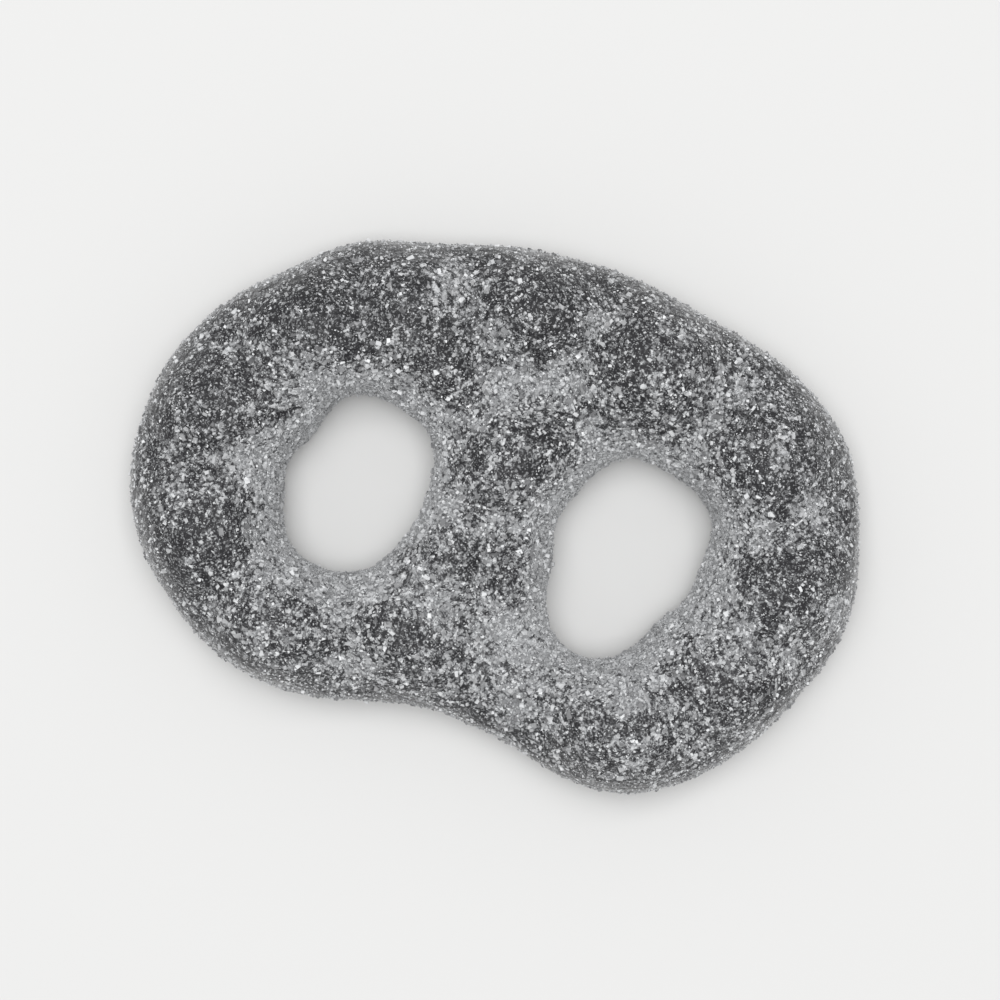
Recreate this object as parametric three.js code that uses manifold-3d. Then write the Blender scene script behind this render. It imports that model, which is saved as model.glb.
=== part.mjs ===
// Salty licorice pretzel: one moulded candy with a flat back, two open loops, a closed third loop
// between them, and a rope of soft humps round the loops, along the bow and down the crossing.
import * as THREE from "three";
import { mergeVertices } from "three/addons/utils/BufferGeometryUtils.js";
import Module from "manifold-3d";

// Sizes are in millimetres and angles in degrees. The candy is laid out about the point midway
// between its two holes, with the bow towards +Y and the flat back at Z = 0, and centred at the end.

// Cross-section of the rope
const THICKNESS = 8.6; // from the flat back to the crest of the tallest hump
const FLOOR_HEIGHT = 6.2; // from the flat back to the floor of the grooves
const WIDEST_HEIGHT = 2.3; // the level where the sides stand out furthest
const TUCK_DEPTH = 5.0; // how far below that level the sides would meet
const OUTER_SHOULDER = 3.9; // width of the slope at the outline
const HOLE_SHOULDER = 3.4; // width of the slope at the holes
const SIDE_FULLNESS = 2.3; // 2 would be an even round, more is squarer
const SHOULDER_BLEND = 0.15;

// Outline: two loops, the bow over them, the foot of the crossing and the heavier right heel
const LEFT_LOOP = { x: -8.5, y: 0.1, radius: 12.5 };
const RIGHT_LOOP = { x: 8.5, y: 0.4, radius: 12.45 };
const BOW = { x: 0.6, y: -10.2, radius: 22.0, middle: 84, halfSpan: 32, halfWidth: 3.9 };
const FOOT = { x: 0.5, y: -5.9, radius: 5.3 };
const HEEL = { x: 9.4, y: -6.2, radius: 6.6 };
const HEEL_FLAT = { x: 19.6, y: -5.6, reach: 3.6, depth: 0.6 }; // where the edge is flattened
const LOOP_BLEND = 1.0;
const BOW_BLEND = 3.2;
const FOOT_BLEND = 3.0;
const HEEL_BLEND = 2.6;
const EDGE_WAVES = [
  { count: 7, height: 0.08, turn: 34 },
  { count: 12, height: 0.05, turn: 115 },
];

// Holes: leaning ovals whose edges are pushed out at soft corners
const LEFT_HOLE = { x: -8.15, y: -0.05, halfWidth: 3.9, halfHeight: 5.2, lean: -12 };
const LEFT_CORNERS = [
  { count: 4, height: 0.1, turn: 37 },
  { count: 5, height: 0.1, turn: -24 },
  { count: 6, height: 0.1, turn: 4 },
];
const RIGHT_HOLE = { x: 7.6, y: 0.15, halfWidth: 4.15, halfHeight: 5.85, lean: -12 };
const RIGHT_CORNERS = [
  { count: 3, height: 0.3, turn: 31 },
  { count: 5, height: 0.12, turn: -21 },
  { count: 6, height: 0.12, turn: -3 },
];

// Ropes: humps in a row along an arc, each one slanted by the twist
const TWIST = 16;
const LEFT_ROPE = { x: -8.1, y: 0, radius: 8.8, first: 120, pitch: 45.5, humps: 5 };
const RIGHT_ROPE = { x: 7.9, y: -0.2, radius: 8.8, first: 50, pitch: -43, humps: 4 };
const BOW_ROPE = { x: 0.6, y: -10.2, radius: 21.8, first: 112, pitch: -18, humps: 3 };
const LOOP_HUMP = { halfLength: 4.2, halfWidth: 5.8 };
const BOW_HUMP = { halfLength: 4.4, halfWidth: 4.8 };
const LENGTH_UNEVENNESS = { share: 0.05, phase: 2.4 }; // share of a hump's length
const HEIGHT_UNEVENNESS = { fall: 0.25, phase: 4.1 }; // mean fall below the full height
const CROSSING_HUMPS = [
  { x: 0.3, y: 3.7, lean: 62, halfLength: 4.2, halfWidth: 3.6, drop: 0.6 },
  { x: -2.3, y: -2.5, lean: 105, halfLength: 4.0, halfWidth: 3.3, drop: 0.6 },
  { x: 2.0, y: -2.6, lean: 78, halfLength: 3.6, halfWidth: 2.8, drop: 0.9 },
  { x: -5.0, y: 7.9, lean: 142, halfLength: 4.0, halfWidth: 3.0, drop: 1.0 },
];
const HUMP_FALL = 2.4; // how far a hump's top falls from its crest to its own edge
const GROOVE_BLEND = 0.9;
const THIRD_LOOP = { x: 0, y: 7.9, halfWidth: 2.8, halfHeight: 1.7, depth: 1.3 };

// Net of triangles over the surface
const STEP = 1.1;
const MARGIN = 2;
const EVENING_ROUNDS = 14;
const EVENING_SHARE = 0.5; // how far a point goes to the mean of its neighbours in a round
const PULLS = 3; // times that a point is drawn towards the surface
const LONGEST_PULL = 0.4;
const CUT_CLEARANCE = 0.25;
const PROBE = 0.01; // distance over which the slope of the form is measured
const LEAST_SLOPE = 1e-6;

const LICORICE_COLOUR = 0x38363a;
const LICORICE_ROUGHNESS = 0.75;

const { sin, cos, hypot, atan2, exp, abs, min, max, ceil } = Math;
const radians = THREE.MathUtils.degToRad;
const clamp = THREE.MathUtils.clamp;
const AXES = [
  [1, 0, 0],
  [0, 1, 0],
  [0, 0, 1],
];

function softMin(a, b, blend) {
  const share = clamp(0.5 + (0.5 * (b - a)) / blend, 0, 1);
  return b + (a - b) * share - blend * share * (1 - share);
}

function softMax(a, b, blend) {
  return -softMin(-a, -b, blend);
}

// A point's place in the own axes of something that leans: along its lean, and across it.
function placeIn({ x, y }, lean, pointX, pointY) {
  const dx = pointX - x;
  const dy = pointY - y;
  return [dx * cos(lean) + dy * sin(lean), dy * cos(lean) - dx * sin(lean)];
}

function beyondDisc(x, y, disc) {
  return hypot(x - disc.x, y - disc.y) - disc.radius;
}

// Distance from a band of even width that is bent along an arc.
function beyondBow(x, y, bow) {
  const middle = radians(bow.middle);
  const halfSpan = radians(bow.halfSpan);
  const offset = atan2(y - bow.y, x - bow.x) - middle;
  const angle = middle + clamp(atan2(sin(offset), cos(offset)), -halfSpan, halfSpan);
  const nearest = { x: bow.x + bow.radius * cos(angle), y: bow.y + bow.radius * sin(angle) };
  return hypot(x - nearest.x, y - nearest.y) - bow.halfWidth;
}

// Distance from a leaning oval with soft corners.
function beyondHole(x, y, hole, corners) {
  const [across, up] = placeIn(hole, radians(hole.lean), x, y);
  const scaled = hypot(across / hole.halfWidth, up / hole.halfHeight);
  const slope = hypot(across / hole.halfWidth ** 2, up / hole.halfHeight ** 2);
  const beyondOval = (scaled * (scaled - 1)) / max(slope, LEAST_SLOPE);
  const angle = atan2(up, across);
  return corners.reduce((sum, c) => sum - c.height * cos(c.count * (angle - radians(c.turn))), beyondOval);
}

// Distance from the outline, negative inside it.
function beyondOutline(x, y) {
  const angle = atan2(y, x);
  let edge = softMin(beyondDisc(x, y, LEFT_LOOP), beyondDisc(x, y, RIGHT_LOOP), LOOP_BLEND);
  edge = softMin(edge, beyondBow(x, y, BOW), BOW_BLEND);
  edge = softMin(edge, beyondDisc(x, y, FOOT), FOOT_BLEND);
  edge = softMin(edge, beyondDisc(x, y, HEEL), HEEL_BLEND);
  const fromFlat = hypot(x - HEEL_FLAT.x, y - HEEL_FLAT.y) / HEEL_FLAT.reach;
  edge += HEEL_FLAT.depth * exp(-(fromFlat ** 2));
  return EDGE_WAVES.reduce((sum, w) => sum + w.height * sin(w.count * angle + radians(w.turn)), edge);
}

// The humps of a rope, a little uneven in length and height.
function ropeHumps(rope, hump, firstOrder) {
  return Array.from({ length: rope.humps }, (_, i) => {
    const angle = radians(rope.first + i * rope.pitch);
    const order = firstOrder + i;
    const stretch = LENGTH_UNEVENNESS.share * sin(LENGTH_UNEVENNESS.phase * order);
    return {
      x: rope.x + rope.radius * cos(angle),
      y: rope.y + rope.radius * sin(angle),
      lean: angle + radians(90 + TWIST),
      halfLength: hump.halfLength * (1 + stretch),
      halfWidth: hump.halfWidth,
      drop: HEIGHT_UNEVENNESS.fall * (1 + sin(HEIGHT_UNEVENNESS.phase * order)),
    };
  });
}

const HUMPS = [
  ...ropeHumps(LEFT_ROPE, LOOP_HUMP, 1),
  ...ropeHumps(RIGHT_ROPE, LOOP_HUMP, 1 + LEFT_ROPE.humps),
  ...ropeHumps(BOW_ROPE, BOW_HUMP, 1 + LEFT_ROPE.humps + RIGHT_ROPE.humps),
  ...CROSSING_HUMPS.map((hump) => ({ ...hump, lean: radians(hump.lean) })),
];

// Height of the relief above the flat back, before the sides round it off.
function crestHeight(x, y) {
  let top = FLOOR_HEIGHT;
  for (const hump of HUMPS) {
    const [along, across] = placeIn(hump, hump.lean, x, y);
    const away = (along / hump.halfLength) ** 2 + (across / hump.halfWidth) ** 2;
    top = softMax(top, THICKNESS - hump.drop - HUMP_FALL * away, GROOVE_BLEND);
  }
  const { halfWidth, halfHeight, depth } = THIRD_LOOP;
  const away = ((x - THIRD_LOOP.x) / halfWidth) ** 2 + ((y - THIRD_LOOP.y) / halfHeight) ** 2;
  return top - depth * exp(-away);
}

// The form of the candy: negative inside it, positive outside it.
function candy(x, y, z) {
  const inFromOutline = -beyondOutline(x, y);
  const beyondLeft = beyondHole(x, y, LEFT_HOLE, LEFT_CORNERS);
  const beyondRight = beyondHole(x, y, RIGHT_HOLE, RIGHT_CORNERS);
  const outerSlope = max(1 - inFromOutline / OUTER_SHOULDER, 0);
  const holeSlope = max(1 - min(beyondLeft, beyondRight) / HOLE_SHOULDER, 0);
  const side = softMax(outerSlope, holeSlope, SHOULDER_BLEND);
  const above = (z - WIDEST_HEIGHT) / (crestHeight(x, y) - WIDEST_HEIGHT);
  const below = (WIDEST_HEIGHT - z) / TUCK_DEPTH;
  return side ** SIDE_FULLNESS + max(above, below) ** 2 - 1;
}

// The form's values at the corners of a lattice of cubes.
function sampleLattice(form, low, high) {
  const [nx, ny, nz] = high.clone().sub(low).divideScalar(STEP).round().addScalar(1).toArray();
  const at = (i, j, k) => i + nx * (j + ny * k);
  const values = new Float64Array(nx * ny * nz);
  for (let k = 0; k < nz; k++)
    for (let j = 0; j < ny; j++)
      for (let i = 0; i < nx; i++)
        values[at(i, j, k)] = form(low.x + i * STEP, low.y + j * STEP, low.z + k * STEP);
  const forEachCube = (visit) => {
    for (let k = 0; k < nz - 1; k++)
      for (let j = 0; j < ny - 1; j++)
        for (let i = 0; i < nx - 1; i++) visit(i, j, k);
  };
  // The lattice point a steps along one axis and b steps along another.
  const stepped = (i, j, k, u, a, v, b) =>
    at(i + a * u[0] + b * v[0], j + a * u[1] + b * v[1], k + a * u[2] + b * v[2]);
  return { at, stepped, values, forEachCube };
}

// Where the corners of a lattice square lie in and out by turns, the net would pinch, so the
// corner nearest to the surface changes sides.
function unpinch({ stepped, values, forEachCube }) {
  let pinched = true;
  while (pinched) {
    pinched = false;
    forEachCube((i, j, k) => {
      AXES.forEach((u, turn) => {
        const v = AXES[(turn + 1) % 3];
        const corner = (a, b) => stepped(i, j, k, u, a, v, b);
        const square = [corner(0, 0), corner(1, 0), corner(1, 1), corner(0, 1)];
        const [a, b, c, d] = square.map((index) => values[index] < 0);
        if (a !== c || b !== d || a === b) return;
        const [nearest] = square.sort((p, q) => abs(values[p]) - abs(values[q]));
        values[nearest] = -values[nearest];
        pinched = true;
      });
    });
  }
}

// Mean of the places where the surface cuts the twelve edges of a cube, in lattice steps.
function crossingsMiddle({ at, values }, i, j, k) {
  const cornerPoint = (bits) => new THREE.Vector3(i + (bits & 1), j + ((bits >> 1) & 1), k + (bits >> 2));
  const sum = new THREE.Vector3();
  let count = 0;
  for (let corner = 0; corner < 8; corner++)
    for (const bit of [1, 2, 4]) {
      if (corner & bit) continue;
      const start = cornerPoint(corner);
      const end = cornerPoint(corner | bit);
      const here = values[at(...start)];
      const there = values[at(...end)];
      if (here < 0 === there < 0) continue;
      sum.add(start.lerp(end, here / (here - there)));
      count++;
    }
  return count ? sum.divideScalar(count) : null;
}

// Moves a point to the surface along the slope of the form.
function drawOnto(form, point) {
  for (let pull = 0; pull < PULLS; pull++) {
    const slope = new THREE.Vector3(
      form(point.x + PROBE, point.y, point.z) - form(point.x - PROBE, point.y, point.z),
      form(point.x, point.y + PROBE, point.z) - form(point.x, point.y - PROBE, point.z),
      form(point.x, point.y, point.z + PROBE) - form(point.x, point.y, point.z - PROBE),
    ).divideScalar(2 * PROBE);
    const steepness = max(slope.length(), LEAST_SLOPE);
    const move = clamp(-form(point.x, point.y, point.z) / steepness, -LONGEST_PULL, LONGEST_PULL);
    point.addScaledVector(slope, move / steepness);
  }
}

// Spreads the points of the net: each goes part of the way to the mean of its neighbours, then
// back onto the surface.
function evenOut(form, points, quads) {
  for (let round = 0; round < EVENING_ROUNDS; round++) {
    const neighbours = points.map(() => ({ sum: new THREE.Vector3(), count: 0 }));
    for (const quad of quads)
      quad.forEach((p, n) => {
        const next = quad[(n + 1) % 4];
        neighbours[p].sum.add(points[next]);
        neighbours[p].count++;
        neighbours[next].sum.add(points[p]);
        neighbours[next].count++;
      });
    points.forEach((point, p) => {
      const { sum, count } = neighbours[p];
      point.lerp(sum.divideScalar(count), EVENING_SHARE);
      drawOnto(form, point);
    });
  }
}

// Keeps a point of the net off the plane of the back, so that the cut there leaves no slivers.
function keepOffCut(form, point) {
  if (abs(point.z) >= CUT_CLEARANCE) return;
  point.z = point.z < 0 ? -CUT_CLEARANCE : CUT_CLEARANCE;
  drawOnto(form, point);
}

// Splits a quad along its shorter diagonal.
function split(points, [a, b, c, d]) {
  const acShorter = points[a].distanceTo(points[c]) < points[b].distanceTo(points[d]);
  return acShorter ? [a, b, c, a, c, d] : [a, b, d, b, c, d];
}

// A closed net of triangles over the surface of a form: one point in each lattice cube that the
// surface passes through, and a quad across each lattice edge that it cuts.
function netOver(form, low, high) {
  const lattice = sampleLattice(form, low, high);
  unpinch(lattice);
  const points = [];
  const pointOf = new Map();
  lattice.forEachCube((i, j, k) => {
    const middle = crossingsMiddle(lattice, i, j, k);
    if (!middle) return;
    pointOf.set(lattice.at(i, j, k), points.length);
    points.push(middle.multiplyScalar(STEP).add(low));
  });

  const quads = [];
  lattice.forEachCube((i, j, k) => {
    const inside = lattice.values[lattice.at(i, j, k)] < 0;
    AXES.forEach(([x, y, z], turn) => {
      if (inside === lattice.values[lattice.at(i + x, j + y, k + z)] < 0) return;
      const u = AXES[(turn + 1) % 3];
      const v = AXES[(turn + 2) % 3];
      const pointAt = (a, b) => pointOf.get(lattice.stepped(i, j, k, u, -a, v, -b));
      const quad = [pointAt(0, 0), pointAt(1, 0), pointAt(1, 1), pointAt(0, 1)];
      quads.push(inside ? quad : quad.reverse());
    });
  });

  evenOut(form, points, quads);
  points.forEach((point) => keepOffCut(form, point));
  const triangles = quads.flatMap((quad) => split(points, quad));
  return new THREE.BufferGeometry().setFromPoints(points).setIndex(triangles);
}

const wasm = await Module();
wasm.setup();

function toSolid(geometry) {
  const bare = geometry.clone();
  bare.deleteAttribute("normal");
  bare.deleteAttribute("uv");
  const merged = mergeVertices(bare);
  return new wasm.Manifold(
    new wasm.Mesh({
      numProp: 3,
      vertProperties: merged.attributes.position.array,
      triVerts: new Uint32Array(merged.index.array),
    }),
  );
}

function toGeometry(solid) {
  const { vertProperties, triVerts } = solid.getMesh();
  return new THREE.BufferGeometry()
    .setAttribute("position", new THREE.BufferAttribute(vertProperties, 3))
    .setIndex(new THREE.BufferAttribute(triVerts, 1));
}

// The moulded body, cut off flat at the back, with its box centred over the origin.
function licoriceBody() {
  const wholeSteps = (size) => STEP * ceil(size / STEP);
  const halfLength = wholeSteps(LEFT_LOOP.radius - LEFT_LOOP.x + MARGIN);
  const halfWidth = wholeSteps(BOW.y + BOW.radius + BOW.halfWidth + MARGIN);
  const depth = wholeSteps(TUCK_DEPTH - WIDEST_HEIGHT + MARGIN);
  const low = new THREE.Vector3(-halfLength, -halfWidth, -depth);
  const high = new THREE.Vector3(halfLength, halfWidth, wholeSteps(THICKNESS + MARGIN));
  const moulded = toSolid(netOver(candy, low, high));
  const belowBack = new THREE.BoxGeometry(4 * halfLength, 4 * halfWidth, 2 * depth);
  belowBack.translate(0, 0, -depth);
  const geometry = toGeometry(moulded.subtract(toSolid(belowBack)));
  geometry.computeBoundingBox();
  const middle = geometry.boundingBox.getCenter(new THREE.Vector3());
  geometry.translate(-middle.x, -middle.y, 0);
  geometry.computeVertexNormals();
  return geometry;
}

const licorice = new THREE.MeshStandardMaterial({
  color: LICORICE_COLOUR,
  roughness: LICORICE_ROUGHNESS,
  metalness: 0,
});
const body = new THREE.Mesh(licoriceBody(), licorice);
body.name = "licorice_body";

const pretzel = new THREE.Group();
pretzel.add(body);

export default pretzel;
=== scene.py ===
import math
from collections import namedtuple

import bpy
import numpy as np
from mathutils import Euler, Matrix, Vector


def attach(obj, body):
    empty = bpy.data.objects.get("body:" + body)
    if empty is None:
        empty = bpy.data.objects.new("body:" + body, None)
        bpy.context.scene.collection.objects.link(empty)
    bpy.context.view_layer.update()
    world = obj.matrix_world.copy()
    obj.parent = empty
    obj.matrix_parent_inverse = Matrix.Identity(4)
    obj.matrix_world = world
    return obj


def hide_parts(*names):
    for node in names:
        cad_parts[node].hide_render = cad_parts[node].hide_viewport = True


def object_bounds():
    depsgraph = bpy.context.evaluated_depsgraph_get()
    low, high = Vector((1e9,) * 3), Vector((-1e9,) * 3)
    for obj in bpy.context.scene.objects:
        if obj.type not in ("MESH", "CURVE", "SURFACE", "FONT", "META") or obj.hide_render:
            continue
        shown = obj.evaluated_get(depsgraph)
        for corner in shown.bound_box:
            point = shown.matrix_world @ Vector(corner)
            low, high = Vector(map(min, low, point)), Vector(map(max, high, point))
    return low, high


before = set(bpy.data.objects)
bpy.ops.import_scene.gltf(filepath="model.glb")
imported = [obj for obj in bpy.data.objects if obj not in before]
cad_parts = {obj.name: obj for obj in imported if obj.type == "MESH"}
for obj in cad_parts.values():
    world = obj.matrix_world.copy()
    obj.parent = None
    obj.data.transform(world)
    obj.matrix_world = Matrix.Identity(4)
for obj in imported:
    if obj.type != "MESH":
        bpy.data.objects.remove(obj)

CAD_BOX = [list(corner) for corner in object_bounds()]

bl_info = {
    "name": "Salty Licorice Pretzel",
    "version": (1, 0, 0),
    "blender": (4, 5, 0),
    "location": "3D View > Sidebar > Licorice Pretzel",
    "description": "Makes a moulded licorice pretzel with its film and crystals of salt",
    "category": "Add Mesh",
}

NODE = "licorice_body"
BODY = "root"
PIECE = "licorice_pretzel"
MM = 0.001

# The candy's form, in millimetres and degrees, from a point nearly midway between its holes.
# +Y is the side of the bow, and the flat back is at Z = 0.
Disc = namedtuple("Disc", "x y radius")
Band = namedtuple("Band", "x y radius middle half_span half_width")
Oval = namedtuple("Oval", "x y half_width half_height lean")
Corners = namedtuple("Corners", "count height turn")
Dimple = namedtuple("Dimple", "x y half_width half_height depth")
Rope = namedtuple("Rope", "x y radius first pitch half_length half_width rubs")
Hump = namedtuple("Hump", "x y lean half_length half_width drop rub")
Patch = namedtuple("Patch", "x y reach strength")
Flat = namedtuple("Flat", "x y reach depth")

THICKNESS = 8.6
FLOOR_HEIGHT = 6.2
WIDEST_HEIGHT = 2.3
TUCK_DEPTH = 5.0
OUTER_SHOULDER = 3.9
HOLE_SHOULDER = 3.4
SIDE_FULLNESS = 2.3
SHOULDER_BLEND = 0.15

# Each shape of the outline, with the width over which it melts into those before it
OUTLINE = (
    (Disc(-8.5, 0.1, 12.5), 1.0),
    (Disc(8.5, 0.4, 12.45), 1.0),
    (Band(0.6, -10.2, 22.0, 84, 32, 3.9), 3.2),
    (Disc(0.5, -5.9, 5.3), 3.0),
    (Disc(9.4, -6.2, 6.6), 2.6),
)
HEEL_FLAT = Flat(19.6, -5.6, 3.6, 0.6)
EDGE_WAVES = (Corners(7, 0.08, 34), Corners(12, 0.05, 115))
LEFT_HOLE = Oval(-8.15, -0.05, 3.9, 5.2, -12)
LEFT_CORNERS = (Corners(4, 0.1, 37), Corners(5, 0.1, -24), Corners(6, 0.1, 4))
RIGHT_HOLE = Oval(7.6, 0.15, 4.15, 5.85, -12)
RIGHT_CORNERS = (Corners(3, 0.3, 31), Corners(5, 0.12, -21), Corners(6, 0.12, -3))
HOLES = ((LEFT_HOLE, LEFT_CORNERS), (RIGHT_HOLE, RIGHT_CORNERS))

# Ropes of humps. The last values say how far rubbing has cleared each hump of salt.
TWIST = 16
ROPES = (
    Rope(-8.1, 0, 8.8, 120, 45.5, 4.2, 5.8, (0.85, 0.75, 0.75, 0.55, 0.5)),
    Rope(7.9, -0.2, 8.8, 50, -43, 4.2, 5.8, (0.7, 0.75, 0.65, 0.5)),
    Rope(0.6, -10.2, 21.8, 112, -18, 4.4, 4.8, (0.55, 1.0, 0.8)),
)
LENGTH_UNEVENNESS = 0.05
LENGTH_PHASE = 2.4
HEIGHT_UNEVENNESS = 0.25
HEIGHT_PHASE = 4.1
CROSSING_HUMPS = (
    Hump(0.3, 3.7, 62, 4.2, 3.6, 0.6, 0.45),
    Hump(-2.3, -2.5, 105, 4.0, 3.3, 0.6, 0.55),
    Hump(2.0, -2.6, 78, 3.6, 2.8, 0.9, 0.5),
    Hump(-5.0, 7.9, 142, 4.0, 3.0, 1.0, 0.65),
)
HUMP_FALL = 2.4
GROOVE_BLEND = 0.6
THIRD_LOOP = Dimple(0, 7.9, 2.8, 1.7, 1.3)
CREASE = Band(-15.5, 6.1, 4.3, -60, 17, 0)
CREASE_WIDTH = 0.2
CREASE_DEPTH = 0.25

# How a fine net is drawn onto the form, to make the licorice under its salt. Lengths are in
# millimetres, and PROBE is the distance over which the form's slope is measured.
RIM_BLEND = 0.45
PROBE = 0.01
LEAST_SLOPE = 1e-6
FIRST_PULLS = 4
EVENING_ROUNDS = 4
EVENING_SHARE = 0.5
LONGEST_PULL = 0.4
MERGE_DISTANCE = 1e-3
DOWN = np.array([0.0, 0.0, -1.0])

# Where the outline's box is looked for, in millimetres: start, end and step
FINE_PLACES = (-30, 30, 0.02)
COARSE_PLACES = (-25, 25, 0.1)

# Crystals: the sides of the coarser kinds, which are cubes drawn out, and the corners and radius
# of a chip's foot. Lengths are shares of the crystal's size.
CRYSTAL_SIDES = (1.35, 0.85, 0.65)
CHIP_CORNERS = 3
CHIP_RADIUS = 0.65

# Seeds of the crystals' random draws: which are swept off, how they turn, their sizes, their
# tints, and how far their corners are shaken
SWEEP_SEED, TURN_SEED, SIZE_SEED, TINT_SEED, SHAKE_SEED = range(10, 15)

# Where smooth steps start and end, in the frost's pattern, in its noises and in how thick salt
# lies. Specks are a share of the grain's size.
FROST_EDGE = (0.4, 0.6)
VEIL_EDGE = (-0.05, 0.5)
MOTTLING_EDGE = (-0.05, 0.2)
SPECK_EDGE = (0.07, 0.13)
SPECK_SHARE = 0.4
THICK_FROST = (0.75, 1.0)
CAKED_FROST = (0.4, 1.0)

# Finishes. A pair of roughnesses is for bare licorice or clear crystals, then for caked salt.
# The bump's distance is in metres.
LICORICE_ROUGHNESS = (0.6, 0.95)
LICORICE_SPECULAR = 0.25
SALT_ROUGHNESS = (0.3, 0.85)
SHEEN_WEIGHT = 0.6
SHEEN_ROUGHNESS = 0.3
BUMP_STRENGTH = 0.5
BUMP_DISTANCE = 0.0001
FLOOR_ROUGHNESS = 0.9

# Noise is made on a turned grid, because a grid in line with the flat back and the crests of the
# humps leaves rings there.
NOISE_TURN = (0.6, 0.5, 0.4)
SMOOTH_DETAIL = 1.0
GRAIN_DETAIL = 3.0
GRAIN_ROUGHNESS = 0.75
GRAIN_SEED = 3.0
SPECK_SEED = 5.0

# The lamp's place in metres, nearly overhead, and the colour of the sky. The camera sees nothing
# that is nearer than its distance from the pretzel divided by the last number.
KEY_PLACE = (-0.02, 0.04, 0.52)
SKY_COLOUR = (1.0, 1.0, 1.0)
CLIP_DIVISOR = 100

# How thick salt lies, as the share of the licorice that it hides. It cakes in a ring round each
# hole, wider below it, in the grooves away from the outline, and in a few patches. It is thin
# on the humps, which rubbing has cleared, and in a few clearings. All but the rings fades down
# the sides into an even thin coat, and the back has one too. Lengths and heights are in
# millimetres, and a pair of them says where a change starts and where it is complete.
OUTER_FROST = 0.22
INNER_FROST = 0.51
INWARDS = (0.0, 3.0)
GROOVE_FROST = 0.1
GROOVE_HEIGHTS = (7.6, 6.3)
RING_FROST = 0.78
RING_REACH = 1.25
RING_WIDENING = 0.3
RING_WIDE_FROM = (1.0, -5.0)
PATCH_FROST = 0.9
RUB_CLEARING = 0.68
RUB_TIGHTNESS = 1.3
PATCHES = (
    Patch(2.4, -5.7, 1.6, 0.7),
    Patch(9.4, -6.4, 1.9, 0.7),
    Patch(-7.4, -6.0, 1.6, 0.4),
    Patch(-11.4, -6.0, 1.2, 0.35),
    Patch(-5.4, -5.4, 1.1, 0.5),
    Patch(-2.2, -4.8, 1.4, 0.75),
    Patch(-2.6, -0.3, 1.1, 0.4),
    Patch(1.2, 8.6, 1.5, 1.0),
    Patch(-1.2, 7.6, 1.4, 1.0),
    Patch(-3.0, 9.9, 1.4, 0.6),
    Patch(1.9, 12.2, 1.1, 0.8),
    Patch(-6.0, 12.0, 1.3, 0.5),
    Patch(-11.8, 4.9, 1.6, 0.9),
    Patch(-8.3, 5.9, 1.3, 0.5),
    Patch(-13.9, -0.5, 1.8, 0.7),
    Patch(-17.6, -3.4, 1.1, 0.5),
    Patch(-10.2, -9.8, 1.6, 0.4),
    Patch(-4.6, -9.5, 1.5, 0.5),
    Patch(-1.2, -9.6, 1.4, 0.45),
    Patch(3.6, -10.0, 1.0, 0.4),
    Patch(13.8, 3.8, 1.3, 0.6),
    Patch(13.2, -0.5, 1.4, 0.6),
    Patch(16.4, 5.5, 1.1, 0.6),
    Patch(6.6, 12.9, 1.2, 0.4),
    Patch(14.2, 8.2, 1.2, 0.5),
    Patch(14.3, -3.2, 1.4, 0.55),
    Patch(17.0, -2.2, 1.2, 0.4),
    Patch(19.4, 0.3, 1.4, 0.7),
    Patch(16.3, -7.4, 1.5, 0.45),
    Patch(10.8, -10.2, 1.2, 0.3),
    Patch(-17.9, 2.6, 1.1, 0.3),
    Patch(-12.8, 2.6, 1.2, 0.5),
    Patch(6.3, 9.9, 1.1, 0.4),
    Patch(2.4, 0.0, 1.0, 0.4),
)
CLEARINGS = (
    Patch(-1.2, 12.3, 2.2, 0.85),
    Patch(1.0, 14.3, 1.6, 0.9),
    Patch(-10.0, 11.8, 1.8, 0.75),
    Patch(-9.4, 8.5, 1.3, 0.3),
    Patch(-15.9, 2.4, 1.2, 0.5),
    Patch(1.4, 5.8, 1.5, 0.7),
    Patch(-2.3, 3.2, 1.4, 0.4),
    Patch(-19.0, -1.5, 1.7, 0.65),
    Patch(-4.3, -3.0, 0.9, 0.6),
    Patch(-4.8, -7.0, 1.1, 0.35),
    Patch(1.2, -7.6, 1.5, 0.4),
    Patch(11.2, 13.0, 1.9, 0.3),
    Patch(7.8, 8.2, 1.2, 0.35),
    Patch(-17.2, 5.8, 1.3, 0.3),
    Patch(15.3, -0.3, 1.1, 0.3),
)
SIDE_FROST = 0.25
SIDE_HEIGHTS = (1.5, 5.5)
BACK_FROST = 0.34
BACK_HEIGHTS = (0.9, 0.3)


def smoothstep(start, end, value):
    """From 0 to 1 as the value goes from start to end."""
    share = np.clip((value - start) / (end - start), 0, 1)
    return share * share * (3 - 2 * share)


def soft_min(a, b, blend):
    """The lesser of two values, which melt into each other where they are closer than blend."""
    share = np.clip(0.5 + 0.5 * (b - a) / blend, 0, 1)
    return b + (a - b) * share - blend * share * (1 - share)


def soft_max(a, b, blend):
    return -soft_min(-a, -b, blend)


def place_in(thing, x, y):
    """A point's place in the own axes of something that leans: along its lean, and across it."""
    lean = math.radians(thing.lean)
    along = (x - thing.x) * math.cos(lean) + (y - thing.y) * math.sin(lean)
    across = (y - thing.y) * math.cos(lean) - (x - thing.x) * math.sin(lean)
    return along, across


def beyond_shape(shape, x, y):
    """Distance outside a disc, or outside a band that is bent along an arc."""
    if isinstance(shape, Disc):
        return np.hypot(x - shape.x, y - shape.y) - shape.radius
    middle, half_span = math.radians(shape.middle), math.radians(shape.half_span)
    offset = np.arctan2(y - shape.y, x - shape.x) - middle
    angle = middle + np.clip(np.arctan2(np.sin(offset), np.cos(offset)), -half_span, half_span)
    nearest_x = shape.x + shape.radius * np.cos(angle)
    nearest_y = shape.y + shape.radius * np.sin(angle)
    return np.hypot(x - nearest_x, y - nearest_y) - shape.half_width


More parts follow.
